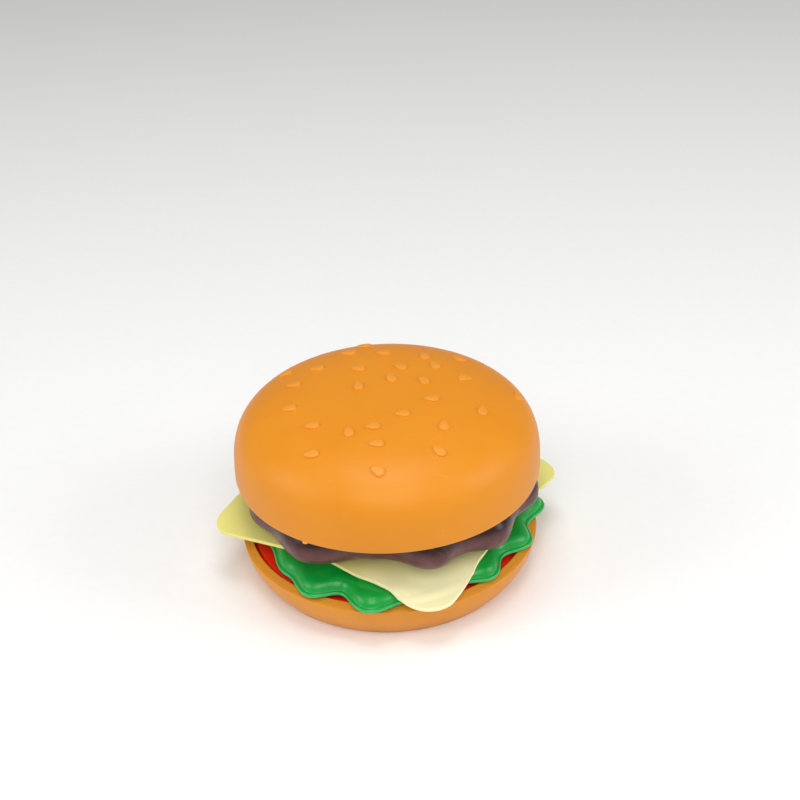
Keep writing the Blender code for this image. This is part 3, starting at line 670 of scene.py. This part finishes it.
mouth_r = DOME_R - RIM_TUCK - DOME_WALL
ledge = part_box("top_bun_plate")[0].z + 1.8 * MM
dome_section = filleted(
    [p for p in dome_curve(DOME_WALL, 24) if p[1] > ledge and p[0] < mouth_r]
    + [(mouth_r, ledge, 0), (mouth_r, low.z, 0.5 * MM), (DOME_R - RIM_TUCK, low.z, 0.5 * MM)]
    + [(DOME_R - 0.25 * MM, low.z + 0.6 * MM, 0.4 * MM)] + dome_curve(0, 90)[::-1])
bm = bmesh.new()
revolve(bm, dome_section, 300)
pegs(bm, ledge, dome_height(PEG_RING_R, DOME_WALL) + 0.5 * MM)
# Painted highlight: the seed tops are painted a paler orange. The gate nub below takes the pale tone fully,
# as its own trimmed colour.
painted_seed_highlight_and_gate_mark = bm.verts.layers.float.new("painted_seed_highlight_and_gate_mark")
for seed_x, seed_y, bearing in SEEDS:
    radius, step = math.hypot(seed_x, seed_y) * MM, 0.1 * MM
    slope = (dome_height(radius + step) - dome_height(radius - step)) / (2 * step)
    out = Vector((seed_x, seed_y, 0)).normalized()
    up = (Vector((0, 0, 1)) - out * slope).normalized()
    tip = at_bearing(1, bearing)
    tip = (tip - up * tip.dot(up)).normalized()
    across = up.cross(tip)
    centre = Vector((seed_x * MM, seed_y * MM, dome_height(radius)))
    rows = []
    for reach in (0.2, 0.4, 0.56, 0.7, 0.8, 0.88, 0.94, 0.99, 1.04, 1.08, 1.11, 1.18, 1.28):
        ring = []
        for i in range(28):
            angle = 2 * math.pi * i / 28
            taper = 1 - 0.35 * math.cos(angle)
            flat = (centre + tip * reach * math.cos(angle) * SEED_L / 2
                    + across * reach * math.sin(angle) * taper * SEED_W / 2)
            on_dome = Vector((flat.x, flat.y, dome_height(math.hypot(flat.x, flat.y))))
            pad = (1 - min(1, reach / 1.1) ** 4.5) ** 0.5
            lift = SEED_H * (0.9 * pad + 0.1 * (1 - smooth_step(reach, 0.95, 1.25))) - 0.02 * MM
            vert = bm.verts.new(on_dome + up * lift)
            vert[painted_seed_highlight_and_gate_mark] = 0.3 * smooth_step(pad, 0.45, 0.95)
            ring.append(vert)
        rows.append(ring)
    top = bm.verts.new(centre + up * (SEED_H - 0.02 * MM))
    top[painted_seed_highlight_and_gate_mark] = 0.3
    for i in range(28):
        j = (i + 1) % 28
        bm.faces.new((top, rows[0][i], rows[0][j]))
        for inner, outer in zip(rows, rows[1:]):
            bm.faces.new((inner[i], outer[i], outer[j], inner[j]))
# The gate where the plastic entered the mould leaves a small trimmed nub on the rim.
nub = bmesh.ops.create_uvsphere(bm, u_segments=16, v_segments=10, radius=1.0)["verts"]
nub_place = Matrix.Translation(at_bearing(DOME_R - 0.7 * MM, NUB_BEARING, low.z + 0.35 * MM))
nub_size = Matrix.Diagonal((0.8 * MM, 1.0 * MM, 0.55 * MM, 1))
nub_turn = Matrix.Rotation(math.radians(NUB_BEARING), 4, "Z") @ nub_size
bmesh.ops.transform(bm, matrix=nub_place @ nub_turn, verts=nub)
for vert in nub:
    vert[painted_seed_highlight_and_gate_mark] = 1.0
dome = make_piece("top_bun_crown", bm, bun_pp)
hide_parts("top_bun_dome")
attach(dome, "top_bun")

low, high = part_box("top_bun_plate")
plate_r, plate_low = high.x, low.z
plate_top = plate_low + 1.5 * MM
plate_section = filleted(
    [(0, plate_low, 0), (24 * MM, plate_low, 0.2 * MM), (24.4 * MM, plate_low + 0.35 * MM, 0.2 * MM),
     (25.6 * MM, plate_low + 0.35 * MM, 0.2 * MM), (26 * MM, plate_low, 0.2 * MM),
     (plate_r, plate_low, 0.3 * MM), (plate_r, plate_top, 0.2 * MM), (0, plate_top, 0)])
bm = bmesh.new()
revolve(bm, plate_section)
sockets(bm, plate_top - 0.3 * MM, high.z)
plate = make_piece("top_bun_floor", bm, bun_pp)
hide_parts("top_bun_plate")
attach(plate, "top_bun")


# ==== table, light and camera ====================================================================
# A seamless sheet of white paper on a table, lit as for a catalogue: a large soft light overhead,
# weaker ones in front and at the sides, and white walls all round.
paper = bpy.data.materials.new("white_seamless_paper")
paper.use_nodes = True
tree = paper.node_tree
shader = tree.nodes["Principled BSDF"]
shader.inputs["Roughness"].default_value = 0.9
spot = add_node(tree, "ShaderNodeTexCoord", {}).outputs["Object"]
fibre = add_node(tree, "ShaderNodeTexNoise", {"Vector": spot, "Scale": 1000 / 3, "Detail": 4.0})
tone = add_node(tree, "ShaderNodeMixRGB", {"Fac": fibre, "Color1": linear("#f4f4f3"),
                                           "Color2": linear("#f8f8f7")})
tree.links.new(tone.outputs[0], shader.inputs["Base Color"])
bm = bmesh.new()
bmesh.ops.create_grid(bm, x_segments=2, y_segments=2, size=3.0)
floor = make_piece("paper_floor", bm, paper)

world = bpy.data.worlds.new("white_studio")
world.use_nodes = True
world.node_tree.nodes["Background"].inputs["Color"].default_value = linear("#ffffff")
world.node_tree.nodes["Background"].inputs["Strength"].default_value = 0.30
bpy.context.scene.world = world


def softbox(name, place, aim, size, power):
    """A square area light at a place, turned to a point."""
    lamp = bpy.data.lights.new(name, "AREA")
    lamp.size = size
    lamp.energy = power
    lamp_object = bpy.data.objects.new(name, lamp)
    lamp_object.location = place
    lamp_object.rotation_euler = (Vector(aim) - Vector(place)).to_track_quat("-Z", "Y").to_euler()
    bpy.context.scene.collection.objects.link(lamp_object)


softbox("overhead_softbox", (0, -0.05, 0.80), (0, 0, 0.03), 0.35, 2.2)
softbox("front_softbox", (0, -0.70, 0.75), (0, 0, 0.03), 0.60, 4.0)
softbox("left_softbox", (-0.80, -0.20, 0.45), (0, 0, 0.03), 0.50, 2.5)
softbox("right_softbox", (0.80, -0.20, 0.45), (0, 0, 0.03), 0.50, 2.7)

lens = bpy.data.cameras.new("camera")
lens.sensor_width = 36
lens.lens = 71.55
lens.clip_start = 0.01
camera = bpy.data.objects.new("camera", lens)
bpy.context.scene.collection.objects.link(camera)
bpy.context.scene.camera = camera
stand = Vector((0, -0.41549, 0.30815))
ahead = (Vector((0.00455, 0, 0.05726)) - stand).normalized()
right = ahead.cross(Vector((0, 0, 1))).normalized()
tilt = Matrix.Rotation(math.radians(-1.886), 3, -ahead)
right = tilt @ right
above = right.cross(ahead)
camera.matrix_world = Matrix.Translation(stand) @ Matrix((right, above, -ahead)).transposed().to_4x4()
bpy.context.scene.view_settings.view_transform = "Standard"

bpy.context.view_layer.update()
